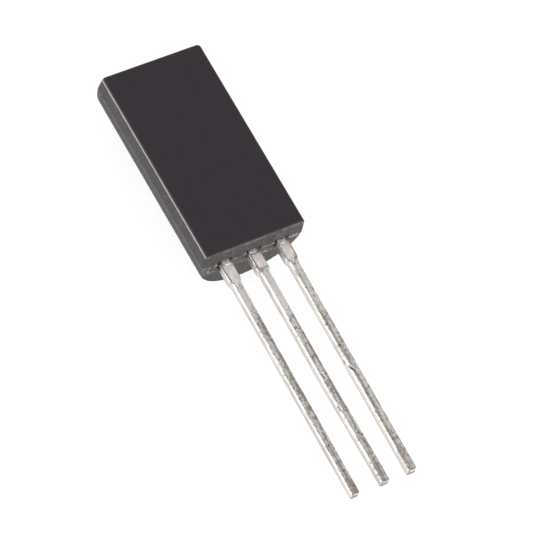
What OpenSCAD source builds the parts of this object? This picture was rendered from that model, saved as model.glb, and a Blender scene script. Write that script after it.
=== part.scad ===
// Long-bodied three-lead moulded memory chip, lying on its rounded back.
// +X is across the width, +Y towards the body's closed end, +Z out of the flat front face.
// The leads run towards -Y. The origin is under the middle of the whole part, on the back.

/* [Body] */
// Width of the front face, between its edges before they are rounded
body_w = 4.41; // [4.36:0.01:5.4]
// Length of the front face along the leads, before its edges are rounded
body_l = 8.56; // [8.4:0.01:11]
// Thickness from the back to the front face
body_t = 2.90; // [2.82:0.01:3.6]
// Depth of the mould's parting plane below the front face
front_depth = 0.72; // [0.65:0.01:0.8]
// Width of the narrow flat along the middle of the rounded back
back_flat = 0.40; // [0.2:0.02:0.8]
// Draft of the two long sides, in degrees
side_draft = 4.5; // [1:0.5:7]
// Draft of the front half's lead end, in degrees
lead_end_draft = 8; // [2:0.5:10]
// Draft of the front half's closed end, in degrees
closed_end_draft = 6; // [1:0.5:8]
// Draft of both ends of the back half, in degrees
back_end_draft = 4; // [1:0.5:6]
// Radius of the front face's four edges
edge_r = 0.14; // [0.05:0.01:0.2]
// Radius of the two upright corners at the closed end, at the front face
closed_corner_r = 0.13; // [0.05:0.01:0.3]
// Radius of the two upright corners at the lead end, at the front face
lead_corner_r = 0.07; // [0.05:0.01:0.3]

/* [Resin flash] */
// How far the resin strip left between the leads stands out of the lead end
flash_out = 0.07; // [0.02:0.01:0.2]
// Bare gap between the resin strip and a lead's shoulder
flash_gap = 0.05; // [0.02:0.01:0.1]
// Distance from the outer leads' centres to the ends of the resin strip
flash_side = 0.68; // [0.5:0.01:0.75]
// Depth of the pocket that the resin leaves around each lead's root
pocket_depth = 0.08; // [0.03:0.01:0.15]
// Height of that pocket above and below the lead
pocket_rim = 0.10; // [0.08:0.01:0.15]

/* [Leads] */
// Distance between the centres of neighbouring leads
lead_pitch = 1.27; // [1.2:0.01:1.3]
// Width of a lead
lead_w = 0.38; // [0.3:0.01:0.45]
// Thickness of the lead frame's sheet
lead_t = 0.34; // [0.3:0.01:0.5]
// Length of a lead outside the body
lead_l = 10.43; // [8:0.01:16]
// Width of the shoulder that the cut tie bar leaves next to the body
shoulder_w = 0.52; // [0.46:0.01:0.6]
// Length of the shoulder outside the body
shoulder_l = 0.81; // [0.6:0.01:1.5]
// Length over which the shoulder narrows to the lead
taper_l = 0.20; // [0.05:0.01:0.3]
// Chamfer on the corners of a lead's sheared tip
tip_chamfer = 0.05; // [0.01:0.01:0.1]
// Radius of the bead of plating metal across the front of each lead's root
bead_r = 0.15; // [0.1:0.01:0.2]
// Height of that bead above the lead
bead_h = 0.07; // [0.03:0.01:0.07]
// Angle by which all three leads lean towards the back, in degrees
lead_lean = 2; // [0.5:0.5:4]
// Distance from the body at which the middle lead is bent sideways
bend_start = 5.9; // [3:0.1:7]
// Sideways bend of the middle lead, in degrees
bend_angle = 1.1; // [0.5:0.1:2]

/* [Lead frame inside the body] */
// Width of a bond post, at the inner end of an outer lead
post_w = 0.86; // [0.6:0.01:1]
// Length of a bond post
post_l = 0.90; // [0.6:0.01:1.2]
// Distance from the front face's lead edge to the bond posts
post_start = 1.50; // [1.2:0.01:1.7]
// Distance from the front face's lead edge to the locking barbs
barb_start = 0.55; // [0.4:0.01:0.7]
// Length of a locking barb
barb_l = 0.30; // [0.2:0.01:0.4]
// How far a locking barb stands out on each side
barb_out = 0.14; // [0.05:0.01:0.2]
// Gap between the bond posts and the die paddle
frame_gap = 0.25; // [0.15:0.01:0.35]
// Rim of the die paddle around the chip
paddle_rim = 0.35; // [0.25:0.01:0.45]

/* [Chip] */
// Width of the silicon chip
die_w = 1.80; // [1.4:0.01:2.2]
// Length of the silicon chip
die_l = 4.20; // [3:0.01:4.3]
// Thickness of the silicon chip
die_t = 0.28; // [0.2:0.01:0.3]
// Thickness of the conductive adhesive under the chip
attach_t = 0.03; // [0.02:0.005:0.05]
// How far the adhesive spreads past the chip
attach_rim = 0.12; // [0.05:0.01:0.2]

/* [Bond wires] */
// Diameter of a bond wire
wire_d = 0.03; // [0.025:0.005:0.05]
// Bend radius of a bond wire
wire_bend_r = 0.08; // [0.06:0.01:0.1]
// Height of a bond wire's loop above the chip
loop_h = 0.18; // [0.15:0.01:0.25]
// Slope of a bond wire down to its post, in degrees
wire_slope = 32; // [28:1:45]
// Diameter of the bonded ball and stitch
bond_d = 0.09; // [0.08:0.005:0.12]
// Height of the bonded ball and stitch
bond_h = 0.02; // [0.015:0.005:0.03]
// Distance from the chip's edges to the centre of a ball bond
pad_inset = 0.18; // [0.1:0.01:0.4]

/* [Hidden] */
$fn = 64;

resin = [0.20, 0.18, 0.20];
tin = [0.76, 0.75, 0.73];
silicon = [0.32, 0.34, 0.40];
silver_paste = [0.62, 0.62, 0.60];
gold = [0.88, 0.70, 0.28];

// Room that a cutting or clipping solid has past what it cuts
past = 1;
// Room that the cuts of the rounded corners reach past the front and the back
corner_room = 0.2;
// Smallest radius that a rounded corner narrows to at the back
least_corner_r = 0.02;
// Flats that stand for the rounding of a front edge
edge_steps = 6;
// How far the resin strips between the leads run into the moulding, so that they are one with it
flash_root = 0.25;

// Heights: the parting plane is also the lead frame's front surface
part_z = body_t - front_depth;
frame_z = part_z - lead_t;

// How far each wall flares from the front face to the parting plane
side_flare = front_depth * tan(side_draft);
lead_end_flare = front_depth * tan(lead_end_draft);
closed_end_flare = front_depth * tan(closed_end_draft);
back_end_taper = part_z * tan(back_end_draft);
part_half_w = body_w / 2 + side_flare;

// The rounded back is one arc. It starts where it is tangent to the drafted sides, or at the
// parting plane on a body too wide for that, and ends at the edges of the narrow flat.
tangent_r = (part_half_w - part_z * tan(side_draft)) * cos(side_draft) / (1 - sin(side_draft));
round_z = min(part_z, tangent_r * (1 - sin(side_draft)));
round_half_w = part_half_w - (part_z - round_z) * tan(side_draft);
back_centre_z = (round_z ^ 2 + round_half_w ^ 2 - (back_flat / 2) ^ 2) / (2 * round_z);
back_r = norm([back_centre_z, back_flat / 2]);

// Along the part, from the front face's lead edge at 0
root_y = -lead_end_flare;
closed_y = body_l + closed_end_flare;
lean_y = root_y - flash_out;
tip_y = root_y - lead_l;
shoulder_y = root_y - shoulder_l;
narrow_y = shoulder_y - taper_l;
bend_y = root_y - bend_start;
face_y = -(closed_y + tip_y) / 2;

// Lead frame inside the body
post_end = post_start + post_l;
paddle_y = post_end + frame_gap;
paddle_w = die_w + 2 * paddle_rim;
paddle_l = die_l + 2 * paddle_rim;
paddle_chamfer = 0.2;

// Bead at a lead's root: how far its middle stands out of the body, and its bare ends
bead_out = 0.06;
bead_inset = 0.03;

// Chip on the paddle
attach_z = part_z;
die_z = attach_z + attach_t;
die_top = die_z + die_t;
die_y = paddle_y + paddle_rim;

// Ends of a bond wire: a ball on the chip, and a stitch at a share of the post's length
ball_x = die_w / 2 - pad_inset;
ball_y = die_y + pad_inset;
stitch_share = 0.6;
stitch_x = lead_pitch;
stitch_y = post_start + stitch_share * post_l;
wire_span = norm([stitch_x - ball_x, stitch_y - ball_y]);
wire_drop = die_top - part_z;
// The level run of the wire, to a tenth of a micron so that its pieces meet face to face
loop_reach = wire_span - wire_bend_r * sin(wire_slope)
    - (loop_h + wire_drop - wire_bend_r * (1 - cos(wire_slope))) / tan(wire_slope);
loop_flat = round(loop_reach * 10000) / 10000;

// Moves a solid drawn from the front face's lead edge into the part's frame
module placed() {
    translate([0, face_y, 0]) children();
}

// ---------- Moulded body ----------

// Half of an outline: the rounded front edge at x = edge, seen along it, and the points below it
function half_outline(edge, draft, below) = concat(
    [for (i = [0:edge_steps]) let (a = 90 - (90 - draft) * i / edge_steps)
        [edge + edge_r * (tan(draft) - 1 / cos(draft) + cos(a)), body_t + edge_r * (sin(a) - 1)]],
    below);

// The same half on the other side, in reverse order
function mirrored(half) = [for (i = [len(half) - 1:-1:0]) [-half[i][0], half[i][1]]];

// Cross-section: drafted front half on a rounded back with a narrow flat
module section() {
    half = half_outline(body_w / 2, side_draft, [[part_half_w, part_z], [round_half_w, round_z]]);
    polygon(concat(half, mirrored(half)));
    intersection() {
        translate([0, back_centre_z]) circle(back_r, $fn = 180);
        translate([-back_r - past, 0]) square([2 * (back_r + past), round_z]);
    }
}

// Side view: both ends flare to the parting plane and taper to the back
module side_view() {
    closed = half_outline(body_l, closed_end_draft,
        [[closed_y, part_z], [closed_y - back_end_taper, 0]]);
    lead = half_outline(0, lead_end_draft, [[-root_y, part_z], [-root_y - back_end_taper, 0]]);
    polygon(concat(closed, mirrored(lead)));
}

// A cone about the Z axis, running on by room past both ends
module long_cone(h, low_r, high_r, low_room, high_room) {
    slope = (high_r - low_r) / h;
    translate([0, 0, -low_room]) cylinder(h = h + low_room + high_room,
        r1 = max(low_r - slope * low_room, least_corner_r), r2 = high_r + slope * high_room);
}

// What one upright corner loses: the outside of a cone in each half of the mould.
// It is drawn in the quarter x > 0, y > 0 about the corner's axis.
module corner_cut(corner_r, end_flare) {
    part_r = corner_r + max(side_flare, end_flare);
    difference() {
        translate([0, 0, -corner_room / 2]) cube([past, past, body_t + corner_room]);
        translate([0, 0, part_z]) long_cone(front_depth, part_r, corner_r, 0, corner_room);
        long_cone(part_z, part_r - back_end_taper, part_r, corner_room, 0);
    }
}

module moulding() {
    difference() {
        intersection() {
            translate([0, closed_y + past, 0]) rotate([90, 0, 0])
                linear_extrude(closed_y - root_y + 2 * past) section();
            translate([-part_half_w - past, 0, 0]) rotate([90, 0, 90])
                linear_extrude(2 * (part_half_w + past)) side_view();
        }
        for (flip = [0, 1]) mirror([flip, 0, 0]) {
            translate([body_w / 2 - closed_corner_r, body_l - closed_corner_r, 0])
                corner_cut(closed_corner_r, closed_end_flare);
            translate([body_w / 2 - lead_corner_r, lead_corner_r, 0]) mirror([0, 1, 0])
                corner_cut(lead_corner_r, lead_end_flare);
        }
        for (x = [-lead_pitch, 0, lead_pitch]) root_pocket(x);
    }
}

// The pocket in the lead end, around one lead
module root_pocket(x) {
    half = shoulder_w / 2 + flash_gap;
    translate([x - half, root_y - past, frame_z - pocket_rim])
        cube([2 * half, past + pocket_depth, lead_t + 2 * pocket_rim]);
}

// Strips of resin, as thick as the lead frame, left between and beside the leads
module flash_strip(from_x, to_x) {
    translate([from_x, lean_y, frame_z]) cube([to_x - from_x, flash_root - lean_y, lead_t]);
}

module flash() {
    clear = shoulder_w / 2 + flash_gap;
    for (x = [-lead_pitch, 0]) {
        flash_strip(x + clear, x + lead_pitch - clear);
    }
    flash_strip(-lead_pitch - flash_side, -lead_pitch - clear);
    flash_strip(lead_pitch + clear, lead_pitch + flash_side);
}

module epoxy_body() {
    color(resin) difference() {
        placed() union() {
            moulding();
            flash();
        }
        lead_left();
        lead_centre();
        lead_right();
        die_attach();
        memory_die();
        bond_wire_left();
        bond_wire_right();
    }
}

// ---------- Leads ----------

// Outline of a lead outside the body; side_bend is its bend in degrees
module outer_outline(side_bend) {
    tip_x = (bend_y - tip_y) * tan(side_bend);
    half = lead_w / 2;
    bent = side_bend == 0 ? [] : [1];
    polygon([
        [-shoulder_w / 2, 0], [-shoulder_w / 2, shoulder_y], [-half, narrow_y],
        for (b = bent) [-half, bend_y],
        [tip_x - half, tip_y + tip_chamfer], [tip_x - half + tip_chamfer, tip_y],
        [tip_x + half - tip_chamfer, tip_y], [tip_x + half, tip_y + tip_chamfer],
        for (b = bent) [half, bend_y],
        [half, narrow_y], [shoulder_w / 2, shoulder_y], [shoulder_w / 2, 0]
    ]);
}

// Outline of the stem inside the body, with its locking barbs
module stem_outline(end_y) {
    barb_w = shoulder_w + 2 * barb_out;
    translate([-shoulder_w / 2, 0]) square([shoulder_w, end_y]);
    translate([-barb_w / 2, barb_start]) square([barb_w, barb_l]);
}

module post_outline() {
    translate([-post_w / 2, post_start]) square([post_w, post_l]);
}

module paddle_outline() {
    half = paddle_w / 2;
    cut = paddle_chamfer;
    translate([0, paddle_y]) polygon([
        [-half + cut, 0], [half - cut, 0], [half, cut], [half, paddle_l - cut],
        [half - cut, paddle_l], [-half + cut, paddle_l], [-half, paddle_l - cut], [-half, cut]
    ]);
}

// The sheet seen from the side: level in the body, leaning back outside it
module sheet_side_view() {
    drop = (lean_y - tip_y) * tan(lead_lean);
    polygon([[body_l, part_z], [lean_y, part_z], [tip_y - past, part_z - drop - past * tan(lead_lean)],
             [tip_y - past, frame_z - drop - past * tan(lead_lean)], [lean_y, frame_z],
             [body_l, frame_z]]);
}

// Cuts a lead with the outline of its children out of the sheet
module stamped() {
    placed() intersection() {
        translate([0, 0, -past]) linear_extrude(body_t + 2 * past) children();
        translate([-part_half_w - past, 0, 0]) rotate([90, 0, 90])
            linear_extrude(2 * (part_half_w + past)) sheet_side_view();
    }
}

// The bead of plating metal across the front of a lead's root
module root_bead(x) {
    placed() translate([x, root_y - bead_out, part_z + bead_h - bead_r]) rotate([0, 90, 0])
        cylinder(h = shoulder_w - 2 * bead_inset, r = bead_r, center = true);
}

module outer_lead(side) {
    color(tin) {
        stamped() translate([side * lead_pitch, 0]) {
            outer_outline(0);
            stem_outline(post_start);
            post_outline();
        }
        root_bead(side * lead_pitch);
    }
}

module lead_left() {
    outer_lead(-1);
}

module lead_right() {
    outer_lead(1);
}

module lead_centre() {
    color(tin) {
        stamped() {
            outer_outline(bend_angle);
            stem_outline(paddle_y);
            paddle_outline();
        }
        root_bead(0);
    }
}

// ---------- Chip ----------

module die_attach() {
    color(silver_paste) placed()
        translate([-die_w / 2 - attach_rim, die_y - attach_rim, attach_z])
            cube([die_w + 2 * attach_rim, die_l + 2 * attach_rim, attach_t]);
}

module memory_die() {
    color(silicon) placed() translate([-die_w / 2, die_y, die_z]) cube([die_w, die_l, die_t]);
}

// ---------- Bond wires ----------

// A stretch of wire bent in the local XZ plane: sweep is counted from the top, back towards -X
module wire_bend(sweep) {
    rotate([90, 0, 0]) rotate([0, 0, 90]) rotate_extrude(angle = sweep, $fn = 64)
        translate([wire_bend_r, 0]) circle(wire_d / 2, $fn = 24);
}

// A straight stretch of wire along +X, level with the top of its bend
module wire_run(length) {
    translate([0, 0, wire_bend_r]) rotate([0, 90, 0]) cylinder(h = length, d = wire_d, $fn = 24);
}

// The wire, drawn from its ball at the origin along +X to its stitch
module wire_path() {
    bend_z = loop_h - wire_bend_r;
    slope_l = (loop_h + wire_drop) / sin(wire_slope);
    difference() {
        union() {
            cylinder(h = bend_z, d = wire_d, $fn = 24);
            translate([wire_bend_r, 0, bend_z]) {
                wire_bend(90);
                wire_run(loop_flat - wire_bend_r);
            }
            translate([loop_flat, 0, bend_z]) rotate([0, wire_slope, 0]) {
                wire_bend(wire_slope);
                wire_run(slope_l);
            }
        }
        translate([wire_span - past / 2, -past / 2, -wire_drop - past]) cube(past);
    }
    cylinder(h = bond_h, d = bond_d);
    translate([wire_span, 0, -wire_drop]) cylinder(h = bond_h, d = bond_d);
}

module bond_wire(side) {
    color(gold) placed() translate([side * ball_x, ball_y, die_top])
        rotate([0, 0, atan2(stitch_y - ball_y, side * (stitch_x - ball_x))]) wire_path();
}

module bond_wire_left() {
    bond_wire(-1);
}

module bond_wire_right() {
    bond_wire(1);
}

epoxy_body();
lead_left();
lead_centre();
lead_right();
die_attach();
memory_die();
bond_wire_left();
bond_wire_right();
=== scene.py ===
"""Moulded three-lead memory chip: looks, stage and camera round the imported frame."""

import math
from collections import namedtuple
from types import SimpleNamespace

import bmesh
import bpy
import numpy as np
from bpy.props import FloatProperty, FloatVectorProperty, PointerProperty
from mathutils import Matrix, Vector, noise


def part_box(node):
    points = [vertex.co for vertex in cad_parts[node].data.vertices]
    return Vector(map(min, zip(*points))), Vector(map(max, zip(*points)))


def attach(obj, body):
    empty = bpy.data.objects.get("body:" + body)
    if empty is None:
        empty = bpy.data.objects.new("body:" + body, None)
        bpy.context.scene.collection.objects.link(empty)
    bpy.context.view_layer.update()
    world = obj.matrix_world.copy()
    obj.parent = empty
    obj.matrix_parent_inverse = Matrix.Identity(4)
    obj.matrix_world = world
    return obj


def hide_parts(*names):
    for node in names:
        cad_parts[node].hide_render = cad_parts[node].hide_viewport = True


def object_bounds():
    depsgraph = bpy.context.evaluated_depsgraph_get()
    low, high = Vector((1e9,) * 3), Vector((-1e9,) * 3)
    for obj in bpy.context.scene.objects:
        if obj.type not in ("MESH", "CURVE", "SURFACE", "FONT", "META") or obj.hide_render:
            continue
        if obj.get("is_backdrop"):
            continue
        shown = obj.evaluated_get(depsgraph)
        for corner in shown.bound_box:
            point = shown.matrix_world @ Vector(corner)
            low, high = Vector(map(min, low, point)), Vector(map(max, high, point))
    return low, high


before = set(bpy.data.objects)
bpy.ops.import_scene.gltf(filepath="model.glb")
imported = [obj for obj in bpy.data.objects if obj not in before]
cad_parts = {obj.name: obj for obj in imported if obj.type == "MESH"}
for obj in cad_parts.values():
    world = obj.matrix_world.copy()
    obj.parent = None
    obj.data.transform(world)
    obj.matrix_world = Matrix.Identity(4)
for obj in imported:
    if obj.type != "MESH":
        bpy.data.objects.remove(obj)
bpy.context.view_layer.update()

bl_info = {
    "name": "Moulded memory chip",
    "version": (1, 0, 0),
    "blender": (4, 5, 0),
    "location": "View3D > Sidebar > Chip",
    "description": "Dresses the packed memory chip and sets its stage",
    "category": "Object",
}

MM = 0.001
# Points of a CAD mesh that are nearer than this, in metres, are one
SAME_POINT = 1e-8
# The side of the centre that each lead stands on
LEADS = {"lead_left": -1, "lead_centre": 0, "lead_right": 1}
# Numbers kept on a lead's mesh: wear with painted shade, pad brightness, darker streaks, beading,
# and painted shade on the lower edges
LEAD_MARKS = ("worn", "pad", "rubbed", "bead", "low")


# ---------- Sizes and colours ----------

def length(name, description, value):
    """A length property; value is in millimetres."""
    return FloatProperty(name=name, description=description, default=value * MM,
                         min=0.0, precision=6, subtype="DISTANCE", unit="LENGTH")


def angle(name, description, degrees):
    """An angle property; the value is given in degrees."""
    return FloatProperty(name=name, description=description, default=math.radians(degrees),
                         subtype="ANGLE", unit="ROTATION")


def number(name, description, value, unit="NONE"):
    """A number that is no size and no angle."""
    return FloatProperty(name=name, description=description, default=value,
                         min=0.0, unit=unit)


def colour(name, description, value):
    """A linear colour without alpha."""
    return FloatVectorProperty(name=name, description=description, default=value,
                               size=3, min=0.0, max=1.0, subtype="COLOR")


class BodySettings(bpy.types.PropertyGroup):
    """Sizes and colours of the moulded body."""

    front_width: length("Front width", "Width of the front face before rounding", 4.41)
    front_length: length("Front length", "Length of the front face before rounding", 8.56)
    front_depth: length("Front depth", "Depth of the parting plane below the front", 0.72)
    back_flat: length("Back flat", "Width of the flat along the rounded back", 0.40)
    side_draft: angle("Side draft", "Draft of the long sides", 4.5)
    lead_draft: angle("Lead end draft", "Draft of the lead end's front half", 8)
    closed_draft: angle("Closed end draft", "Draft of the closed end's front half", 6)
    back_draft: angle("Back draft", "Draft of both ends of the back half", 4)
    edge_radius: length("Edge radius", "Rounding of the front face's edges", 0.14)
    closed_corner: length("Closed corner", "Upright corner radius, closed end", 0.16)
    lead_corner: length("Lead corner", "Upright corner radius, lead end", 0.07)
    grid: length("Grid", "Spacing of the fine grid on the lead end", 0.02)
    grain: length("Grain", "Height of the grain on the walls", 0.004)
    front_colour: colour("Front", "Resin of the smooth front face", (0.0182, 0.0116, 0.0172))
    wall_colour: colour("Walls", "Resin of the rough walls", (0.043, 0.039, 0.039))
    # The edge colour is a painted highlight along the edges of the front face
    edge_highlight_colour: colour("Edges", "Painted highlight along the edges of the front face", (0.38, 0.36, 0.365))
    strip_colour: colour("Strips", "Resin strips between the leads", (0.062, 0.046, 0.046))
    rim_colour: colour("Rims", "Torn rims of the resin strips", (0.45, 0.405, 0.39))
    speck_colour: colour("Specks", "Light specks and smears", (0.30, 0.27, 0.26))
    # Painted shade, also used for the darker patches on the lead end
    shade_colour: colour("Painted shade", "Painted shade in pockets, low on the lead end and on walls facing down, and darker patches", (0.010, 0.009, 0.009))


class LeadSettings(bpy.types.PropertyGroup):
    """Sizes and colours of the plated leads."""

    pitch: length("Pitch", "Distance between the leads' centres", 1.27)
    width: length("Width", "Width of a lead", 0.38)
    thickness: length("Thickness", "Thickness of the sheet", 0.34)
    shoulder_width: length("Shoulder width", "Width next to the body", 0.52)
    shoulder_length: length("Shoulder length", "Length of the shoulder", 0.81)
    taper_length: length("Taper", "Length of the narrowing", 0.20)
    edge_radius: length("Edge radius", "Rounding of a lead's edges", 0.09)
    end_radius: length("End radius", "Rounding of a lead's end", 0.09)
    lean: angle("Lean", "Lean of the leads towards the back", 2)
    bead_height: length("Bead height", "Height of the bead at a root", 0.050)
    tin_colour: colour("Tin", "Plated tin", (0.82, 0.79, 0.75))
    # The dull colour also paints shade on the lower edges and underside
    dull_and_shade_colour: colour("Dull tin and shade", "Dull streaks and patches of the tin, and painted shade on its lower edges and underside", (0.39, 0.348, 0.318))
    pad_colour: colour("Pads", "Pressed pads at the roots", (0.84, 0.785, 0.755))
    # The streak colour darkens streaks along the leads' fronts
    streak_colour: colour("Rubbed", "Darker streaks along the leads", (0.26, 0.235, 0.22))
    cut_colour: colour("Cut ends", "Sheared ends of the leads", (0.30, 0.27, 0.25))
    worn_and_shade_colour: colour("Worn and shaded", "Cuts, pits and dents in the tin, and painted shade in its creases, by the roots and under the ends", (0.060, 0.050, 0.047))


class ChipSettings(bpy.types.PropertyGroup):
    """Colours of the parts inside the body."""

    silicon_colour: colour("Silicon", "Face of the chip", (0.16, 0.18, 0.24))
    lane_colour: colour("Lanes", "Lanes between the chip's cells", (0.42, 0.40, 0.36))
    adhesive_colour: colour("Adhesive", "Silver-filled adhesive", (0.55, 0.55, 0.53))
    gold_colour: colour("Gold", "Bond wires", (0.85, 0.60, 0.22))


class StageSettings(bpy.types.PropertyGroup):
    """Camera, lights and floor."""

    azimuth: angle("Azimuth", "Camera's turn round the part", -51.162)
    elevation: angle("Elevation", "Camera's height above the horizon", 57.905)
    roll: angle("Roll", "Turn of the camera about its own axis", 25.226)
    distance: length("Distance", "Camera's distance from its aim", 143.935)
    lens: number("Lens", "Focal length in millimetres", 248.503, "CAMERA")
    floor_colour: colour("Floor", "Plain pale floor", (0.30, 0.30, 0.30))
    floor_glow: number("Floor glow", "Light that the floor gives by itself", 0.79)
    sky_light: number("Sky light", "Even white light from all round", 0.72)
    left_power: number("Left light", "Power of the soft light on the left", 0.18, "POWER")
    low_power: number("Low light", "Power of the soft light at the lead end", 0.15, "POWER")


def in_mm(group):
    """The group's numbers by name, with lengths in millimetres."""
    found = {}
    for name, prop in group.bl_rna.properties.items():
        if prop.type == "FLOAT":
            value = getattr(group, name)
            found[name] = value / MM if prop.unit == "LENGTH" else value
    return SimpleNamespace(**found)


# ---------- Materials ----------

class Value:
    """A shader socket that takes part in Python expressions."""

    def __init__(self, finish, socket):
        self.finish, self.socket = finish, socket

    def _maths(self, operation, *terms):
        return self.finish.node("ShaderNodeMath", {"operation": operation},
                                dict(enumerate(terms)))

    def __add__(self, other):
        return self._maths("ADD", self, other)

    def __sub__(self, other):
        return self._maths("SUBTRACT", self, other)

    def __rsub__(self, other):
        return self._maths("SUBTRACT", other, self)

    def __mul__(self, other):
        return self._maths("MULTIPLY", self, other)

    __radd__, __rmul__ = __add__, __mul__


class Finish:
    """One material and the nodes that make it."""

    def __init__(self, name):
        self.material = bpy.data.materials.new(name)
        self.material.use_nodes = True
        self.tree = self.material.node_tree
        self.tree.nodes.clear()

    def node(self, kind, settings=None, values=None, output=0):
        """Adds a node: its settings first, then the values or links of its sockets."""
        made = self.tree.nodes.new(kind)
        for key, value in (settings or {}).items():
            setattr(made, key, value)
        for key, value in (values or {}).items():
            if isinstance(value, Value):
                self.tree.links.new(value.socket, made.inputs[key])
            else:
                made.inputs[key].default_value = value
        return Value(self, made.outputs[output]) if made.outputs else None

    def place(self):
        """The place on the part, in millimetres."""
        where = self.node("ShaderNodeTexCoord", output="Object")
        return self.node("ShaderNodeVectorMath", {"operation": "SCALE"},
                         {0: where, "Scale": 1 / MM})

    def parts(self, vector):
        """The three numbers of a vector."""
        split = self.node("ShaderNodeSeparateXYZ", values={0: vector})
        outputs = split.socket.node.outputs
        return [Value(self, outputs[i]) for i in range(3)]

    def facing(self):
        """The surface's own direction as three numbers."""
        return self.parts(self.node("ShaderNodeNewGeometry", output="Normal"))

    def step(self, value, low, high):
        """0 below low, 1 above high, and smooth between them."""
        return self.node("ShaderNodeMapRange", {"interpolation_type": "SMOOTHSTEP"},
                         {0: value, 1: low, 2: high, 3: 0.0, 4: 1.0})

    def stretched(self, vector, scale):
        """A vector with each number scaled by its own factor."""
        return self.node("ShaderNodeVectorMath", {"operation": "MULTIPLY"},
                         {0: vector, 1: scale})

    def mottle(self, vector, scale, detail=3.0, rough=0.5):
        """Soft noise, from 0 to 1, with scale features to a millimetre."""
        return self.node("ShaderNodeTexNoise", None,
                         {"Vector": vector, "Scale": scale, "Detail": detail,
                          "Roughness": rough})

    def attribute(self, name):
        """A number kept on the mesh."""
        return self.node("ShaderNodeAttribute", {"attribute_name": name}, output="Fac")

    def blend(self, factor, first, second):
        """A colour between two colours."""
        pair = {0: factor}
        for key, value in ((6, first), (7, second)):
            pair[key] = value if isinstance(value, Value) else (*value, 1.0)
        return self.node("ShaderNodeMix", {"data_type": "RGBA"}, pair, output=2)

    def varied(self, factor, tone, least, most):
        """A colour that goes from one share of its lightness to another."""
        return self.blend(factor, tuple(c * least for c in tone), tuple(c * most for c in tone))

    def bump(self, height, depth):
        """A normal from a height; depth is in millimetres."""
        return self.node("ShaderNodeBump", None, {"Distance": depth * MM, "Height": height})

    def close(self, **values):
        """The shader that ends the material; underscores in names stand for spaces."""
        values = {key.replace("_", " "): value for key, value in values.items()}
        shader = self.node("ShaderNodeBsdfPrincipled", None, values)
        self.node("ShaderNodeOutputMaterial", None, {"Surface": shader})
        return self.material


def resin_finish(settings, top, parting):
    """Dark filled resin: smooth on the front face, rough and greyer on the walls.

    top and parting are the heights of the front face and the parting, in millimetres."""
    f = Finish("moulded_resin")
    place = f.place()
    _, along, up = f.facing()
    _, _, height = f.parts(place)
    grain = f.mottle(place, 8.0, 4.0, 0.65)
    cloud = f.mottle(place, 1.3, 3.0, 0.5)
    tone = f.step(grain * 0.7 + cloud * 0.3, 0.30, 0.70)
    specks = f.step(f.mottle(place, 13.0, 1.0), 0.64, 0.76)
    chipped = f.step(f.mottle(place, 3.6, 4.0, 0.7), 0.42, 0.58)

    # The front face, and the painted highlight along its edges, which is fainter at the lead end
    near_top = f.step(height, top - 0.22, top - 0.13)
    front = f.step(up, 0.62, 0.84) * near_top
    edge = f.step(up, 0.20, 0.38) * (1 - f.step(up, 0.56, 0.70)) * near_top
    edge = edge * (1 - (1 - f.step(along, -0.55, -0.25)) * (1 - chipped * 0.35))

    # The walls: torn and paler under the parting at the lead end, with painted shade low on the
    # lead end and on walls that face down
    back_half = 1 - f.step(height, parting - 0.04, parting + 0.02)
    lead_end = 1 - f.step(along, -0.6, -0.3)
    torn = back_half * lead_end * (f.step(height, parting - 0.95, parting - 0.60) * 0.95 + 0.05)
    wall = f.varied(tone, settings.wall_colour, 0.62, 1.38)
    wall = f.blend(torn * (tone * 0.25 + 0.08), wall, settings.speck_colour)
    # Painted shade low on the lead end, towards the floor
    wall = f.blend(lead_end * (1 - f.step(height, 0.4, 1.7)) * 0.5, wall, settings.shade_colour)
    wall = f.blend(specks * (back_half * 0.25 + 0.25), wall, settings.speck_colour)
    # Painted shade on walls that face down
    wall = f.blend((1 - f.step(up, -0.5, 0.05)) * 0.28, wall, settings.shade_colour)

    # What the mesh marks on them
    wall = f.blend(f.attribute("pale") * (grain + 0.5), wall, settings.speck_colour)
    wall = f.blend(f.attribute("strip") * 0.85, wall,
                   f.varied(tone, settings.strip_colour, 0.5, 1.5))
    wall = f.blend(f.attribute("rim") * f.step(grain, 0.35, 0.60) * 0.85, wall,
                   settings.rim_colour)
    # The pocket mark: painted shade in the pockets and on the lead end's rounded lower edge,
    # painted shadow beside the left strip, and a darker patch
    wall = f.blend(f.attribute("pocket") * 0.85, wall, settings.shade_colour)

    face = f.varied(tone, settings.front_colour, 0.90, 1.10)
    base = f.blend(edge * (tone * 0.5 + 0.6), f.blend(front, wall, face), settings.edge_highlight_colour)
    rough = f.step(grain, 0.0, 1.0) * 0.12 + 0.56 - front * 0.22 - edge * 0.18
    bumps = grain * (1 - front * 0.93)
    return f.close(Base_Color=base, Roughness=rough, Normal=f.bump(bumps, 0.008),
                   Specular_IOR_Level=0.35)


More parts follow.
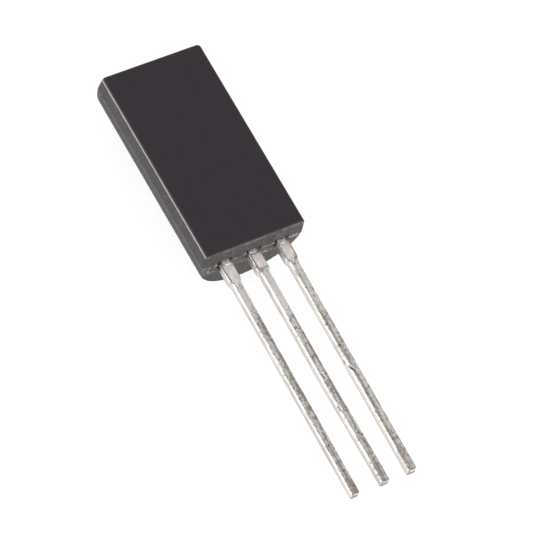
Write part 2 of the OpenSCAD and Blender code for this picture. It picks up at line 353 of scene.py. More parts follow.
def tin_finish(settings):
    """Plated tin: bright and mottled, dark at its cuts, with painted shade in creases, by the
    roots, under the ends, on the lower edges and underneath.
    """
    f = Finish("plated_tin")
    place = f.place()
    _, along, up = f.facing()
    worn, pad, rubbed, bead, low = (f.attribute(mark) for mark in LEAD_MARKS)

    # Patches and grain, all drawn out along the leads
    cloud = f.mottle(f.stretched(place, (1.0, 0.4, 1.0)), 2.6, 3.0, 0.55)
    fine = f.mottle(f.stretched(place, (1.0, 0.7, 1.0)), 8.5, 4.0, 0.72)
    drift = f.mottle(f.stretched(place, (0.5, 0.45, 0.5)), 1.0, 2.0)
    streak = f.mottle(f.stretched(place, (8.0, 1.0, 8.0)), 1.0, 3.0, 0.60)
    pits = f.step(f.mottle(f.stretched(place, (1.0, 0.6, 1.0)), 12.0, 2.0, 0.6), 0.58, 0.68)
    spots = f.step(fine, 0.38, 0.62)
    patchy = cloud * 0.19 + streak * 0.23 + fine * 0.58
    dull = f.step(patchy + rubbed * 0.07, 0.450, 0.580)

    # The sheared sides and the front, with dull patches and painted shade along the lower edges
    front = f.step(up, 0.2, 0.8)
    sheared = f.varied(f.step(streak * 0.5 + drift * 0.5, 0.38, 0.60),
                       settings.tin_colour, 0.66, 0.98)
    base = f.blend(front, sheared, tuple(c * 0.95 for c in settings.tin_colour))
    # Painted shade along the lower edges, stronger towards the tip
    base = f.blend(low * 0.6, base, settings.dull_and_shade_colour)
    base = f.blend(dull * (front * 0.8 + 0.2), base, settings.dull_and_shade_colour)
    base = f.blend(rubbed * (fine * 0.8 + 0.1), base, settings.streak_colour)
    base = f.blend(pad * 0.9, base, f.varied(spots, settings.pad_colour, 0.88, 1.10))
    base = f.blend(bead, base, f.varied(spots, settings.pad_colour, 0.62, 0.86))
    base = f.blend(pits * front * (1 - pad * 0.6) * 0.70, base, settings.worn_and_shade_colour)

    # Painted shade on the underside, the cut ends, and the cuts with painted shade in creases over
    # all
    base = f.blend(1 - f.step(up, -0.30, -0.02), base, settings.dull_and_shade_colour)
    base = f.blend((1 - f.step(along, -0.95, -0.45)) * 0.85, base, settings.cut_colour)
    # Cuts, with painted shade in creases, by the roots and under the ends
    base = f.blend(worn, base, settings.worn_and_shade_colour)

    rough = fine * 0.16 + dull * 0.12 + worn * 0.2 + pad * 0.26 + bead * 0.30 + 0.24
    bumps = (fine * 0.6 + streak * 0.4) * (f.step(up, 0.75, 0.98) * 0.8 + 0.2)
    return f.close(Base_Color=base, Metallic=1 - worn * 0.85, Roughness=rough,
                   Normal=f.bump(bumps, 0.009))


def silicon_finish(settings):
    """Polished silicon with rows of plain cells."""
    f = Finish("patterned_silicon")
    place = f.place()
    cells = f.node("ShaderNodeTexBrick", {"offset": 0.0},
                   {"Vector": place, "Scale": 4.0, "Mortar Size": 0.02,
                    "Brick Width": 0.5, "Row Height": 0.25,
                    "Color1": (*settings.silicon_colour, 1.0),
                    "Color2": (*(c * 1.3 for c in settings.silicon_colour), 1.0),
                    "Mortar": (*settings.lane_colour, 1.0)})
    rough = f.mottle(place, 9.0) * 0.1 + 0.14
    return f.close(Base_Color=cells, Metallic=0.35, Roughness=rough)


def adhesive_finish(settings):
    """Silver-filled adhesive, with flakes."""
    f = Finish("silver_adhesive")
    flakes = f.mottle(f.place(), 34.0, 2.0, 0.7)
    base = f.varied(flakes, settings.adhesive_colour, 0.6, 1.0)
    return f.close(Base_Color=base, Metallic=0.7, Roughness=flakes * 0.3 + 0.35,
                   Normal=f.bump(flakes, 0.01))


def gold_finish(settings):
    """Drawn gold wire."""
    f = Finish("gold_wire")
    drawn = f.mottle(f.place(), 60.0, 2.0)
    base = f.varied(drawn, settings.gold_colour, 1.0, 0.85)
    return f.close(Base_Color=base, Metallic=1.0, Roughness=drawn * 0.1 + 0.18)


def floor_finish(settings):
    """Plain pale floor that glows a little, so that it stays light under the part."""
    f = Finish("pale_floor")
    base = f.varied(f.mottle(f.place(), 0.02), settings.floor_colour, 1.0, 0.99)
    return f.close(Base_Color=base, Roughness=0.9, Specular_IOR_Level=0.1,
                   Emission_Color=(1, 1, 1, 1), Emission_Strength=settings.floor_glow)


# ---------- Mesh helpers ----------

def smooth(low, high, values):
    """0 below low, 1 above high, and smooth between them."""
    t = np.clip((np.asarray(values, float) - low) / (high - low), 0.0, 1.0)
    return t * t * (3 - 2 * t)


def rough_field(points, scale, seed, octaves=3):
    """Noise from -1 to 1 at each point, with scale features to a millimetre."""
    shift = Vector((seed * 7.31, seed * 3.17, seed * 5.71))
    return np.array([noise.fractal(Vector(p) * scale + shift, 1.0, 2.0, octaves)
                     for p in points])


def loft(name, rings, marks):
    """A closed mesh through rings of equal counts, in millimetres, with flat caps.

    marks holds a number for each point by name, for the materials to read."""
    count, around = rings.shape[:2]
    mesh = bpy.data.meshes.new(name)
    steps = np.arange(around)
    after = (steps + 1) % around
    faces = []
    for row in range(count - 1):
        low, high = row * around, (row + 1) * around
        faces.extend(zip(low + steps, low + after, high + after, high + steps))
    faces.append(steps[::-1])
    faces.append((count - 1) * around + steps)
    mesh.from_pydata(rings.reshape(-1, 3) * MM, [],
                     [tuple(int(i) for i in face) for face in faces])
    mesh.update()
    for mark, values in marks.items():
        layer = mesh.attributes.new(mark, "FLOAT", "POINT")
        layer.data.foreach_set("value", np.asarray(values, np.float32).ravel())
    return mesh


def shown(name, mesh, material, node):
    """A piece that stands for a CAD node, which it hides, and rides with the root."""
    piece = bpy.data.objects.new(name, mesh)
    bpy.context.scene.collection.objects.link(piece)
    mesh.materials.clear()
    mesh.materials.append(material)
    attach(piece, "root")
    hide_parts(node)
    return piece


def soften(mesh, degrees):
    """Smooth shading, but for edges sharper than the angle."""
    mesh.shade_smooth()
    mesh.set_sharp_from_angle(angle=math.radians(degrees))


# ---------- Moulded body ----------

# The smallest radius of the upright corners, at the front face and at the back
LEAST_FRONT_CORNER, LEAST_BACK_CORNER = 0.012, 0.02
# How far the fine rings reach below and above the parting, and where the coarse ones start
FINE_BELOW, FINE_ABOVE, COARSE_FROM = 0.56, 0.18, 0.20
# Points on a ring along each side, the closed end and each corner
RING_COUNTS = (106, 56, 7)
# Depth of the faint grooves on both sides of the parting line
GROOVE = 0.006
# Space between a shoulder and the resin strips beside it, and how far the outer two strips
# reach past the centres of the outer leads
POCKET_GAP, STRIP_REACH = 0.05, 0.68
# How far down the torn lower edge of each strip hangs, from left to right, and the least
# hang that leaves a pale ridge along it
STRIP_HANGS, RIDGE_HANG = (0.16, 0.0, 0.11, 0.07), 0.1
# Marks on the lead end: place, half-sizes and depth, or a depth below 0 for a pale smear. The dark
# one at the far left is painted shadow beside the left strip; the other dark one is a darker patch
LEAD_END_MARKS = ((1.12, 2.50, 0.24, 0.28, -0.10), (1.93, 1.80, 0.29, 0.25, 0.48),
          (-2.02, 1.95, 0.05, 0.18, 0.75))


class BodyForm:
    """The moulded body's sizes at each height, in millimetres."""

    def __init__(self, settings):
        self.s = s = in_mm(settings)
        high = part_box("epoxy_body")[1] / MM
        self.top = high.z
        self.part_z = self.top - s.front_depth
        self.half_w = s.front_width / 2
        self.part_half_w = self.half_w + s.front_depth * math.tan(s.side_draft)
        self.closed_y = s.front_length + s.front_depth * math.tan(s.closed_draft)
        self.root_y = -s.front_depth * math.tan(s.lead_draft)
        self.face_y = high.y - self.closed_y
        tangent_r = ((self.part_half_w - self.part_z * math.tan(s.side_draft))
                     * math.cos(s.side_draft) / (1 - math.sin(s.side_draft)))
        self.round_z = min(self.part_z, tangent_r * (1 - math.sin(s.side_draft)))
        self.round_half_w = (self.part_half_w
                             - (self.part_z - self.round_z) * math.tan(s.side_draft))
        self.back_z = ((self.round_z ** 2 + self.round_half_w ** 2 - (s.back_flat / 2) ** 2)
                       / (2 * self.round_z))
        self.back_r = math.hypot(self.back_z, s.back_flat / 2)

    def edge(self, z, draft):
        """How far the front half stands out of the front face's own edge at a height."""
        r = self.s.edge_radius
        if z > self.top - r * (1 - math.sin(draft)):
            rise = 1 - (self.top - z) / r
            return r * (math.tan(draft) - 1 / math.cos(draft)
                        + math.sqrt(max(0.0, 1 - rise ** 2)))
        return (self.top - z) * math.tan(draft)

    def half_width(self, z):
        """Half the body's width at a height."""
        s = self.s
        if z >= self.part_z:
            return self.half_w + self.edge(z, s.side_draft)
        if z >= self.round_z:
            return self.part_half_w - (self.part_z - z) * math.tan(s.side_draft)
        return math.sqrt(self.back_r ** 2 - (z - self.back_z) ** 2)

    def ends(self, z):
        """Where the lead end and the closed end are at a height."""
        s = self.s
        if z >= self.part_z:
            return -self.edge(z, s.lead_draft), s.front_length + self.edge(z, s.closed_draft)
        taper = (self.part_z - z) * math.tan(s.back_draft)
        return self.root_y + taper, self.closed_y - taper

    def corner(self, z, radius, flare):
        """Radius of an upright corner at a height."""
        s = self.s
        widest = radius + max(s.front_depth * math.tan(s.side_draft), flare)
        if z >= self.part_z:
            at = radius + (widest - radius) * (self.top - z) / s.front_depth
            inset = (self.top - z) * math.tan(s.side_draft) - self.edge(z, s.side_draft)
            return max(at - inset * 0.9, LEAST_FRONT_CORNER)
        low = max(widest - self.part_z * math.tan(s.back_draft), LEAST_BACK_CORNER)
        return low + (widest - low) * z / self.part_z

    def outline(self, z, counts):
        """One closed ring at a height, anticlockwise seen from the front."""
        lead_n, side_n, closed_n, corner_n = counts
        w = self.half_width(z)
        y0, y1 = self.ends(z)
        s = self.s
        rl = min(self.corner(z, s.lead_corner, -self.root_y), w * 0.45)
        rc = min(self.corner(z, s.closed_corner, self.closed_y - s.front_length), w * 0.45)
        runs = [
            ((-w + rl, y0), (w - rl, y0), lead_n, (w - rl, y0 + rl), rl, -90),
            ((w, y0 + rl), (w, y1 - rc), side_n, (w - rc, y1 - rc), rc, 0),
            ((w - rc, y1), (-w + rc, y1), closed_n, (-w + rc, y1 - rc), rc, 90),
            ((-w, y1 - rc), (-w, y0 + rl), side_n, (-w + rl, y0 + rl), rl, 180),
        ]
        ring = []
        for start, end, n, centre, r, turn in runs:
            t = np.linspace(0, 1, n)[:, None]
            ring.append(np.array(start) * (1 - t) + np.array(end) * t)
            a = np.radians(turn + np.linspace(0, 90, corner_n + 2)[1:-1])
            ring.append(np.stack([centre[0] + r * np.cos(a), centre[1] + r * np.sin(a)], 1))
        ring = np.concatenate(ring)
        return np.column_stack([ring, np.full(len(ring), z)])


def body_heights(form):
    """Heights of the rings, from the back to the front, fine next to the parting."""
    s = form.s
    low_angle = math.asin(-form.back_z / form.back_r)
    high_angle = math.asin((form.round_z - form.back_z) / form.back_r)
    arc = [form.back_z + form.back_r * math.sin(a)
           for a in np.linspace(low_angle, high_angle, 44)]
    arc[0] = 0.0
    fine = np.arange(form.part_z - FINE_BELOW, form.part_z + FINE_ABOVE, s.grid)
    upper = np.arange(form.part_z + COARSE_FROM, form.top - s.edge_radius - 0.02, 0.05)
    rounding = [form.top - s.edge_radius * (1 - math.sin(a))
                for a in np.linspace(0, math.pi / 2, 10)]
    heights = [z for z in arc if z < fine[0] - 0.01]
    return [*heights, *fine, *upper, *rounding]


def between(low, high, blur, values):
    """1 between low and high and 0 outside, with soft ends."""
    return smooth(low - blur, low + blur, values) * (1 - smooth(high - blur, high + blur, values))


def lead_end_relief(form, lead, points):
    """How far the lead end stands out at each point, and the marks for its finish."""
    flat = points * (1, 0, 1)
    x, z = points[:, 0], points[:, 2]
    frame_z = form.part_z - lead.thickness
    wave, fine = rough_field(flat, 5.0, 1), rough_field(flat, 14.0, 2)
    torn_x, torn_z = x + wave * 0.03 + fine * 0.012, z + wave * 0.03 + fine * 0.015
    half = lead.shoulder_width / 2 + POCKET_GAP

    # Thin strips of resin between and beside the shoulders, with torn edges
    starts = (-lead.pitch - STRIP_REACH, -lead.pitch + half, half, lead.pitch + half)
    ends = (-lead.pitch - half, -half, lead.pitch - half, lead.pitch + STRIP_REACH)
    strip, ridge = np.zeros(len(points)), np.zeros(len(points))
    for start, end, hang in zip(starts, ends, STRIP_HANGS):
        top = form.part_z + 0.015 * (1 + (start > 0))
        found = (between(start, end, 0.025, torn_x)
                 * between(frame_z - 0.01 - hang, top, 0.022, torn_z))
        strip += found
        if hang > RIDGE_HANG:
            over = torn_z + wave * 0.01 - frame_z + hang - 0.04
            ridge += 1.4 * found * np.exp(-(over / 0.035) ** 2)
    chips = smooth(0.42, 0.62, wave * 0.6 + fine * 0.6)

    # A shallow pocket round each root
    pocket = np.zeros(len(points))
    for side in LEADS.values():
        off = x - side * lead.pitch + wave * 0.03
        pocket += (between(-half + 0.01, half - 0.01, 0.02, off)
                   * between(frame_z - 0.10, form.part_z + 0.12, 0.02, z + fine * 0.03))
    stand = strip * (0.057 + 0.014 * wave + 0.010 * fine - 0.03 * chips) - 0.08 * pocket

    # Pale rims along the strips and over the right one, the marks with their painted shadow, and
    # painted shade on the rounded lower edge
    rim = np.exp(-((strip - 0.5) / 0.28) ** 2) + ridge
    rim += 0.8 * np.exp(-((x - 1.84) / 0.24) ** 4 - ((z - 2.19) / 0.05) ** 4)
    shade_and_stain = np.zeros(len(points))
    for at_x, at_z, half_x, half_z, depth in LEAD_END_MARKS:
        shade_and_stain += depth * np.exp(-((x - at_x) / half_x) ** 4 - ((z - at_z) / half_z) ** 4)
    from_axis = np.hypot(x, z - form.back_z)
    turned = smooth(form.back_r - 0.16, form.back_r - 0.02, from_axis) * (z < form.round_z)
    dark = np.clip(shade_and_stain, 0, 1) + 0.3 * turned
    return np.minimum(stand, 0.069), {
        "strip": strip, "rim": rim, "pocket": np.maximum(pocket, dark),
        "pale": np.clip(-shade_and_stain, 0, 1)}


def body_mesh(form, lead_settings):
    """The moulded body before the lead frame and the chip are cut out of it."""
    s, lead = form.s, in_mm(lead_settings)
    counts = (int(s.front_width / s.grid), *RING_COUNTS)
    rings = np.array([form.outline(z, counts) for z in body_heights(form)])
    # One more ring just inside the edge of the front face
    middle = np.array([0.0, s.front_length / 2, form.top])
    inner = middle + (rings[-1] - middle) * (1 - 0.02 / form.half_w)
    rings = np.concatenate([rings, inner[None]])
    points = rings.reshape(-1, 3)
    z = points[:, 2]

    # The lead end's details, which fade out towards its edges
    lead_end = np.array([form.ends(height)[0] for height in z])
    on_lead_end = 1 - smooth(0.004, 0.05, points[:, 1] - lead_end)
    on_lead_end *= 1 - smooth(form.top - s.edge_radius * 0.9, form.top - s.edge_radius * 0.4, z)
    relief, marks = lead_end_relief(form, lead, points)
    marks = {name: values * on_lead_end for name, values in marks.items()}

    # Grain on the walls and grooves beside the parting line, all cut inwards
    grain = np.clip(0.5 + rough_field(points, 8.0, 4), 0.0, 1.0)
    beside = np.exp(-((np.abs(z - form.part_z) - 0.035) / 0.018) ** 2)
    wall = (1 - smooth(form.top - s.edge_radius, form.top - 0.03, z)) * smooth(0.0, 0.1, z)
    centre = np.array([0.0, s.front_length / 2])
    box = np.array([form.part_half_w, form.closed_y - centre[1]])
    inward = (grain * s.grain + beside * GROOVE) * wall
    points[:, :2] -= (points[:, :2] - centre) / box * inward[:, None]
    points[:, 1] += form.face_y - relief * on_lead_end

    # A paler line under the parting, all round
    marks["pale"] = np.maximum(0.2 * np.exp(-((z - form.part_z + 0.05) / 0.06) ** 2),
                               marks["pale"])
    return loft("epoxy_moulding", rings, marks)


def cut_out(piece, nodes):
    """Cuts the shapes of CAD nodes out of a piece, so that they lie in cavities."""
    for node in nodes:
        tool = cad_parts[node].copy()
        tool.data = tool.data.copy()
        bpy.context.scene.collection.objects.link(tool)
        tool.hide_viewport = tool.hide_render = False
        edit = bmesh.new()
        edit.from_mesh(tool.data)
        bmesh.ops.remove_doubles(edit, verts=edit.verts, dist=SAME_POINT)
        edit.to_mesh(tool.data)
        edit.free()
        modifier = piece.modifiers.new(node, "BOOLEAN")
        modifier.operation, modifier.solver, modifier.object = "DIFFERENCE", "EXACT", tool
        bpy.context.view_layer.update()
        evaluated = piece.evaluated_get(bpy.context.evaluated_depsgraph_get())
        mesh = bpy.data.meshes.new_from_object(evaluated)
        piece.modifiers.clear()
        piece.data = mesh
        spare = tool.data
        bpy.data.objects.remove(tool)
        bpy.data.meshes.remove(spare)


class CHIP_OT_body(bpy.types.Operator):
    """Moulds the resin body round the lead frame and the chip"""

    bl_idname = "chip.body"
    bl_label = "Moulded body"

    def execute(self, context):
        scene = context.scene
        form = BodyForm(scene.chip_body)
        mesh = body_mesh(form, scene.chip_leads)
        finish = resin_finish(scene.chip_body, form.top, form.part_z)
        piece = shown("epoxy_moulding", mesh, finish, "epoxy_body")
        cut_out(piece, ["lead_left", "lead_centre", "lead_right", "die_attach",
                        "memory_die", "bond_wire_left", "bond_wire_right"])
        soften(piece.data, 50)
        return {"FINISHED"}


# ---------- Leads ----------

def lead_stations(lead, reach):
    """Distances from the body's wall along a lead, fine at the root and the tip."""
    inside = np.arange(-0.20, -0.10, 0.04)
    root = np.arange(-0.10, lead.shoulder_length + lead.taper_length + 0.15, 0.014)
    run = np.arange(root[-1] + 0.04, reach - 0.20, 0.05)
    end = np.linspace(reach - 0.18, reach - lead.end_radius, 6)
    rounding = [reach - lead.end_radius * (1 - math.sin(a))
                for a in np.linspace(0, math.pi / 2, 7)[1:]]
    return np.array([*inside, *root, *run, *end, *rounding])


def ring_shape(half_w, half_t, radii, faces=(24, 10), steps=6):
    """A rounded rectangle seen along a lead, clockwise from the front's right end.

    radii are those of the front right, back right, back left and front left corners."""
    turns = ((1, 1, 90), (1, -1, 0), (-1, -1, -90), (-1, 1, -180))
    arcs = []
    for (sx, sz, start), radius in zip(turns, radii):
        angles = np.radians(np.linspace(start, start - 90, steps))
        middle = np.array((sx * (half_w - radius), sz * (half_t - radius)))
        arcs.append(middle + radius * np.stack([np.cos(angles), np.sin(angles)], 1))
    ring = []
    for index, arc in enumerate(arcs):
        first = arcs[(index + 1) % 4][0]
        t = np.linspace(0, 1, faces[1 - index % 2] + 2)[1:-1, None]
        ring.extend([arc, arc[-1] * (1 - t) + first * t])
    return np.concatenate(ring)


# What sets the three leads apart, by side. In all of it u is the distance from the body
# along a lead and x the place across it from its middle, in millimetres.

# Pressed pads on the shoulders: left and right edges, how far the left one closes in, where
# the sides end, how far the tongue runs on and where it points, and the depths of the cuts
# on the right and at the end
Pad = namedtuple("Pad", "left right closing end tongue tongue_x right_cut end_cut")
PADS = {-1: Pad(-0.205, 0.235, 0.045, 0.80, 0.36, -0.03, 0.10, 0.45),
        0: Pad(-0.185, 0.225, 0.010, 0.74, 0.04, 0.00, 0.10, 0.78),
        1: Pad(-0.220, 0.222, 0.010, 0.73, 0.36, -0.02, 1.20, 1.30)}
PAD_START = 0.135
# Bead at each root
Bead = namedtuple("Bead", "x half_width half_length")
BEADS = {-1: Bead(0.03, 0.17, 0.18), 0: Bead(-0.03, 0.19, 0.11), 1: Bead(-0.03, 0.20, 0.17)}
# How deep the crease behind each pad is and how much painted shade lies in it, and how far its
# painted shade runs along the left side
Crease = namedtuple("Crease", "depth reach")
CREASES = {-1: Crease(0.12, 0.19), 0: Crease(0.42, 0.10), 1: Crease(0.22, 0.11)}
CREASE_U = 0.105
# Darker streak along each lead, as (u, x)
STREAKS = {-1: ((0.9, 0.04), (2.4, 0.09), (5.5, 0.08), (7.0, 0.12), (8.5, 0.00), (10.4, 0.03)),
           0: ((0.9, -0.11), (1.4, -0.05), (2.2, 0.12), (5.5, 0.10), (7.5, 0.08),
               (10.4, -0.01)),
           1: ((0.9, 0.02), (1.4, -0.05), (2.4, -0.08), (5.5, -0.05), (8.5, -0.08),
               (10.4, -0.03))}
# Where the darker tone near the tips sets in and is full
TIP_STREAK = (9.25, 9.45)
# Nicks: middle, half-length, how far they slant across, depth, and the side of the raised lip
Nick = namedtuple("Nick", "u x half_length slant depth lip_side")
NICKS = {-1: (),
         0: (Nick(5.66, -0.03, 0.19, 0.25, 0.9, 1), Nick(7.07, -0.12, 0.14, 0.15, 0.7, 1)),
         1: (Nick(5.83, -0.09, 0.17, 0.55, 1.8, 1),)}
# Dents in the left side, with their height over the lead's middle
Dent = namedtuple("Dent", "u level")
DENTS = {-1: (), 0: (), 1: (Dent(5.44, 0.03),)}
# How far each lead is set across, as (u, shift), and how much wider it is at its tip
BOWS = {-1: ((0.0, 0.0), (5.0, 0.004), (9.5, 0.018)),
        0: ((0.0, 0.0), (5.9, 0.0), (9.5, 0.0691)),
        1: ((0.0, 0.0), (9.5, 0.008))}
GROWTH = {-1: -0.018, 0: 0.006, 1: 0.020}
# Where the tin is cleaner, and by how much
Clean = namedtuple("Clean", "start end amount")
CLEAN = {-1: Clean(0.9, 2.6, 0.42), 0: Clean(0.9, 2.9, 0.90), 1: Clean(0.9, 3.3, 0.40)}
# Gap that is bridged between a lead's outside and its CAD stem
JOIN_GAP = 0.05
# How round each lead's left front edge is, as a share of the full radius
ROUNDING = {-1: 0.85, 0: 1.20, 1: 0.95}
# How round the other edges are: front right, back right and back left
OTHER_ROUNDING = (0.55, 0.4, 0.4)


def nicked(side, u, x):
    """How deep the nicks are at each point, and how high the metal raised beside them."""
    found, lip = np.zeros(len(x)), np.zeros(len(x))
    for nick in NICKS[side]:
        along = (u - nick.u) / nick.half_length
        off = (x - nick.x - (u - nick.u) * nick.slant) / 0.030
        found += nick.depth * np.exp(-along ** 4 - off ** 2)
        lip += nick.depth * np.exp(-along ** 4 - ((off - 2.0 * nick.lip_side) / 0.9) ** 2)
    return found, lip


def front_relief(side, lead, u, x, rough):
    """Height of the details over a lead's front at a distance u, and their marks.

    x runs across the lead and rough is the noise at each point."""
    pad, bead, crease, clean = PADS[side], BEADS[side], CREASES[side], CLEAN[side]

    # The pad, and the cut round it: how far each point lies inside the nearest edge
    left = pad.left + pad.closing * float(smooth(0.30, 0.80, u))
    rough_x = x + rough * 0.008
    tongue = pad.tongue * (1 - np.abs(x - pad.tongue_x) / 0.2)
    gaps = np.array([rough_x - left, pad.right - rough_x,
                     pad.end + tongue - u + rough * 0.010,
                     np.full(len(x), u - PAD_START) + rough * 0.010])
    gap = gaps.min(0)
    pressed = smooth(-0.012, 0.012, gap)
    depths = np.array([1.0, pad.right_cut, pad.end_cut, crease.depth])
    depth = depths[gaps.argmin(0)] * (u > 0.03)
    cut = depth * np.exp(-((gap + 0.018) / 0.015) ** 2)
    # Painted shade along the cuts round the pad
    shade_and_stain = depth * np.exp(-((gap + 0.010) / 0.024) ** 2)

    # The bead, the crease behind the pad, the burr on the right lead and the torn left edge
    from_bead = np.abs(x - bead.x)
    dome = np.clip(1 - ((u + 0.02) / bead.half_length) ** 2
                   - (from_bead / bead.half_width) ** 3, 0, 1) ** 0.5
    beside = (smooth(0.75 * bead.half_width, 1.05 * bead.half_width, from_bead)
              * (1 - smooth(0.05, 0.10, u + rough * 0.02)))
    behind = (np.exp(-((u - CREASE_U + rough * 0.01) / 0.030) ** 2)
              * smooth(left - 0.02, left, x))
    burr = np.exp(-((x - 0.262) / 0.010) ** 2) * between(0.15, 0.85, 0.04, u) * (side > 0)
    torn = ((1 - smooth(left - 0.03, left - 0.01, x)) * between(0.12, pad.end + 0.12, 0.04, u)
            * (1.0 if side < 0 else 0.3))
    nick, lip = nicked(side, u, x)
    height = (pressed * 0.005 - cut * 0.014 + dome * lead.bead_height - beside * 0.02
              + burr * 0.02 + torn * rough * 0.010 - nick * 0.050 + lip * 0.020)

    # The marks for the finish
    at = np.interp(u, *np.array(STREAKS[side]).T)
    rubbed = np.exp(-((x - at + rough * 0.02) / 0.035) ** 2) * smooth(pad.end, pad.end + 0.2, u)
    rubbed = np.maximum(rubbed, 0.35 * smooth(*TIP_STREAK, u))
    # Cuts and nicks, with painted shade along the pad's cuts and in the crease behind it, and
    # darker beside the bead
    worn = np.clip(shade_and_stain + 0.8 * beside + crease.depth * behind + 0.9 * nick, 0, 1)
    cleaner = clean.amount * between(clean.start, clean.end, 0.2, u + rough * 0.2)
    for dent in DENTS[side]:
        lip = lip + ((1 - smooth(-0.10, -0.07, x))
                     * between(dent.u - 0.18, dent.u + 0.25, 0.06, u))
    bright = np.maximum(np.maximum(pressed, cleaner * 0.5), np.clip(lip, 0, 1))
    beaded = ((1 - smooth(0.08, 0.15, u))
              * (1 - 0.6 * crease.depth * (1 - smooth(0.0, 0.4, dome))))
    return height, {"worn": worn, "pad": bright, "rubbed": rubbed - cleaner, "bead": beaded}


def side_marks(side, half_t, u, x, level, past, rough):
    """Painted shade on a lead's left side by the root and under its end, the dark dents in that
    side, and painted shade along its lower edges.

    level is the height over the lead's middle, and past goes from 0 to 1 round its end."""
    over = level + half_t
    near_root = (u - CREASES[side].reach) / 0.1 + rough * 0.3
    shade = (1 - smooth(-0.4, 0.0, near_root)) * (x < -0.21)
    shade *= 1 - smooth(half_t - 0.09, half_t - 0.05, level) * (u > 0.05)
    shade = np.maximum(shade, 0.5 * (past > 0.5) * (1 - smooth(0.04, 0.16, over)))
    for dent in DENTS[side]:
        off = ((u - dent.u) / 0.09) ** 2 + ((level - dent.level) / 0.06) ** 2
        shade = np.maximum(shade, 0.85 * np.exp(-off ** 2) * (x < -0.15))
    low = (1 - smooth(0.08, 0.18, over)) * (0.45 + 0.55 * smooth(5.0, 7.5, u))
    return shade, low * np.maximum(x < -0.1, past > 0.9)


def lead_rings(node, side, form, lead):
    """The rings of a lead outside the body, and the marks of each point."""
    tip_y = (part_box(node)[0] / MM).y
    reach = form.root_y - (tip_y - form.face_y)
    half_t = lead.thickness / 2
    sheet_z = form.part_z - half_t
    rings, marks = [], {mark: [] for mark in LEAD_MARKS}
    for u in lead_stations(lead, reach):
        neck = smooth(lead.shoulder_length, lead.shoulder_length + lead.taper_length, u)
        width = lead.width + GROWTH[side] * u / reach
        half_w = (lead.shoulder_width * (1 - neck) + width * neck) / 2
        radius = lead.edge_radius * float(smooth(-0.14, 0.10, u)) * (0.55 + 0.45 * neck)
        past = max(0.0, u - (reach - lead.end_radius)) / lead.end_radius
        trim = lead.end_radius * (1 - math.sqrt(max(0.0, 1 - past ** 2)))
        radii = [max(radius * part - trim * 0.3, 0.001)
                 for part in (*OTHER_ROUNDING, ROUNDING[side])]
        x, level = ring_shape(half_w - trim, half_t - trim * 0.5, radii).T
        spot = np.column_stack([x + side * 5, np.full(len(x), u), level])
        rough = rough_field(spot, 9.0, 7)
        out = np.clip((level - half_t) / radii[3] + 1, 0, 1)
        height, found = front_relief(side, lead, u, x, rough)
        drop = max(0.0, u - 0.07) * math.tan(lead.lean)
        bend = np.interp(u, *np.array(BOWS[side]).T)
        dents = rough_field(spot * (1.0, 0.35, 1.0), 3.0, 8) * 0.004 - 0.002
        squeeze = 1 + np.minimum(dents, 0) * float(smooth(0.0, 0.3, u)) / half_w
        rings.append(np.column_stack([side * lead.pitch + x * squeeze + bend,
                                      np.full(len(x), form.root_y - u + form.face_y),
                                      sheet_z - drop + level * squeeze + height * out]))
        # Painted shade on the left side by the root, under the end and along the lower edges
        shade, low = side_marks(side, half_t, u, x, level, past, rough)
        found = {mark: values * out for mark, values in found.items()}
        found.update(worn=np.maximum(found["worn"], shade), low=low)
        for mark, values in found.items():
            marks[mark].append(values)
    return np.array(rings), {mark: np.array(values) for mark, values in marks.items()}


def lead_mesh(node, side, form, lead):
    """A lead: its detailed outside joined to the CAD stem inside the body."""
    rings, marks = lead_rings(node, side, form, lead)
    mesh = loft("tinned_" + node, rings[::-1],
                {mark: values[::-1] for mark, values in marks.items()})

    # The outside, open at its inner end
    edit = bmesh.new()
    edit.from_mesh(mesh)
    edit.faces.ensure_lookup_table()
    bmesh.ops.delete(edit, geom=[edit.faces[-1]], context="FACES_ONLY")

    # What lies further in on the CAD lead
    join_y = (rings[0, 0, 1] + JOIN_GAP) * MM
    stem = bmesh.new()
    stem.from_mesh(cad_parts[node].data)
    bmesh.ops.remove_doubles(stem, verts=stem.verts, dist=SAME_POINT)
    bmesh.ops.bisect_plane(stem, geom=[*stem.verts, *stem.edges, *stem.faces],
                           plane_co=(0, join_y, 0), plane_no=(0, 1, 0), clear_inner=True)
    scrap = bpy.data.meshes.new("scrap")
    stem.to_mesh(scrap)
    stem.free()
    edit.from_mesh(scrap)
    bpy.data.meshes.remove(scrap)

    # A bridge between the two
    bmesh.ops.bridge_loops(edit, edges=[e for e in edit.edges if e.is_boundary])
    bmesh.ops.recalc_face_normals(edit, faces=edit.faces)
    open_edges = sum(not e.is_manifold for e in edit.edges)
    if open_edges:
        raise RuntimeError(f"{node} has {open_edges} open edges")
    edit.to_mesh(mesh)
    edit.free()
    return mesh


class CHIP_OT_leads(bpy.types.Operator):
    """Shapes the three plated leads"""

    bl_idname = "chip.leads"
    bl_label = "Leads"

    def execute(self, context):
        scene = context.scene
        form = BodyForm(scene.chip_body)
        lead = in_mm(scene.chip_leads)
        material = tin_finish(scene.chip_leads)
        for node, side in LEADS.items():
            mesh = lead_mesh(node, side, form, lead)
            piece = shown("tinned_" + node, mesh, material, node)
            soften(piece.data, 50)
        return {"FINISHED"}


# ---------- Inner parts ----------

class CHIP_OT_inner(bpy.types.Operator):
    """Finishes the chip, its adhesive and its bond wires"""

    bl_idname = "chip.inner"
    bl_label = "Chip and wires"

    def execute(self, context):
        settings = context.scene.chip_inner
        gold = gold_finish(settings)
        finishes = {"memory_die": silicon_finish(settings),
                    "die_attach": adhesive_finish(settings),
                    "bond_wire_left": gold, "bond_wire_right": gold}
        for node, material in finishes.items():
            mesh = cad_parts[node].data
            mesh.materials.clear()
            mesh.materials.append(material)
        return {"FINISHED"}


# ---------- Stage ----------

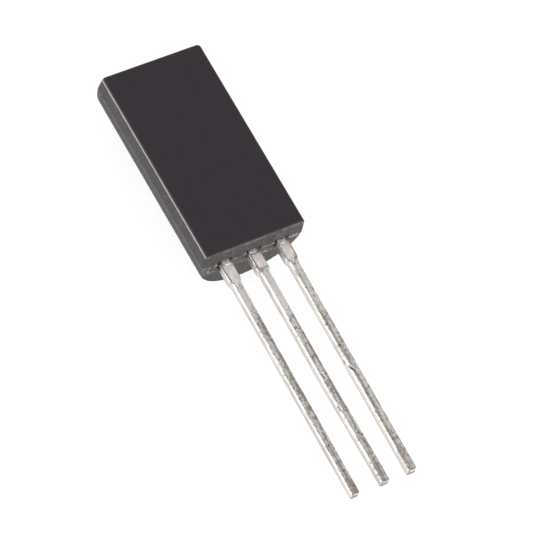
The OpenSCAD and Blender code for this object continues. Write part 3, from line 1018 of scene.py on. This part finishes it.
# Where the camera aims, from the middle of the part, in millimetres
AIM = (0.154, -0.492, 0.959)
# Half the floor's width, in metres
FLOOR_HALF = 2
# Soft lights: the setting with the power, the size, the direction and the distance
LIGHTS = {"left_softbox": ("left_power", 140, (-0.85, 0.3, 0.42), 150),
          "low_softbox": ("low_power", 90, (0.35, -0.85, 0.35), 160)}


def add_light(name, energy, size, direction, distance, aim):
    """A square soft light that shines at the aim; sizes are in millimetres."""
    data = bpy.data.lights.new(name, "AREA")
    data.energy, data.size = energy, size * MM
    light = bpy.data.objects.new(name, data)
    direction = Vector(direction).normalized()
    light.location = aim + direction * distance * MM
    light.rotation_mode = "QUATERNION"
    light.rotation_quaternion = direction.to_track_quat("Z", "Y")
    bpy.context.scene.collection.objects.link(light)


class CHIP_OT_stage(bpy.types.Operator):
    """Sets the floor, the lights and the camera"""

    bl_idname = "chip.stage"
    bl_label = "Stage"

    def execute(self, context):
        scene = context.scene
        s = in_mm(scene.chip_stage)
        low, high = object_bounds()
        aim = (low + high) / 2 + Vector(AIM) * MM

        mesh = bpy.data.meshes.new("floor")
        mesh.from_pydata([(x * FLOOR_HALF, y * FLOOR_HALF, low.z) for x, y in
                          ((-1, -1), (1, -1), (1, 1), (-1, 1))], [], [(0, 1, 2, 3)])
        mesh.materials.append(floor_finish(s))
        floor = bpy.data.objects.new("floor", mesh)
        scene.collection.objects.link(floor)
        floor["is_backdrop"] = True

        world = bpy.data.worlds.new("studio")
        world.use_nodes = True
        sky = world.node_tree.nodes["Background"]
        sky.inputs["Color"].default_value = (1, 1, 1, 1)
        sky.inputs["Strength"].default_value = s.sky_light
        scene.world = world
        for name, (power, size, direction, distance) in LIGHTS.items():
            add_light(name, getattr(s, power), size, direction, distance, aim)

        a, e, roll = s.azimuth, s.elevation, s.roll
        back = Vector((math.sin(a) * math.cos(e), -math.cos(a) * math.cos(e), math.sin(e)))
        level = Vector((math.cos(a), math.sin(a), 0))
        right = level * math.cos(roll) + back.cross(level) * math.sin(roll)
        up = back.cross(right)
        data = bpy.data.cameras.new("camera")
        data.lens, data.sensor_width = s.lens, 36.0
        data.clip_start, data.clip_end = 0.01, 10.0
        camera = bpy.data.objects.new("camera", data)
        turn = Matrix((right, up, back)).transposed().to_4x4()
        camera.matrix_world = Matrix.Translation(aim + back * s.distance * MM) @ turn
        scene.collection.objects.link(camera)
        scene.camera = camera
        scene.view_settings.view_transform = "Standard"
        return {"FINISHED"}


class CHIP_PT_panel(bpy.types.Panel):
    """Lists the pieces of the chip"""

    bl_idname = "CHIP_PT_panel"
    bl_label = "Moulded memory chip"
    bl_space_type = "VIEW_3D"
    bl_region_type = "UI"
    bl_category = "Chip"

    def draw(self, context):
        for operator in OPERATORS:
            self.layout.operator(operator.bl_idname)
        for name in SETTINGS:
            group = getattr(context.scene, name)
            box = self.layout.box()
            for prop in group.bl_rna.properties:
                if prop.identifier not in ("rna_type", "name"):
                    box.prop(group, prop.identifier)


SETTINGS = {"chip_body": BodySettings, "chip_leads": LeadSettings,
            "chip_inner": ChipSettings, "chip_stage": StageSettings}
OPERATORS = (CHIP_OT_body, CHIP_OT_leads, CHIP_OT_inner, CHIP_OT_stage)


def register():
    """Adds the settings, the operators and the panel."""
    for cls in (*SETTINGS.values(), *OPERATORS, CHIP_PT_panel):
        bpy.utils.register_class(cls)
    for name, cls in SETTINGS.items():
        setattr(bpy.types.Scene, name, PointerProperty(type=cls))


def unregister():
    """Takes them away again."""
    for name in SETTINGS:
        delattr(bpy.types.Scene, name)
    for cls in reversed((*SETTINGS.values(), *OPERATORS, CHIP_PT_panel)):
        bpy.utils.unregister_class(cls)


def main():
    """Makes the pieces and the stage."""
    register()
    for operator in OPERATORS:
        group, name = operator.bl_idname.split(".")
        getattr(getattr(bpy.ops, group), name)()


if __name__ == "__main__":
    main()
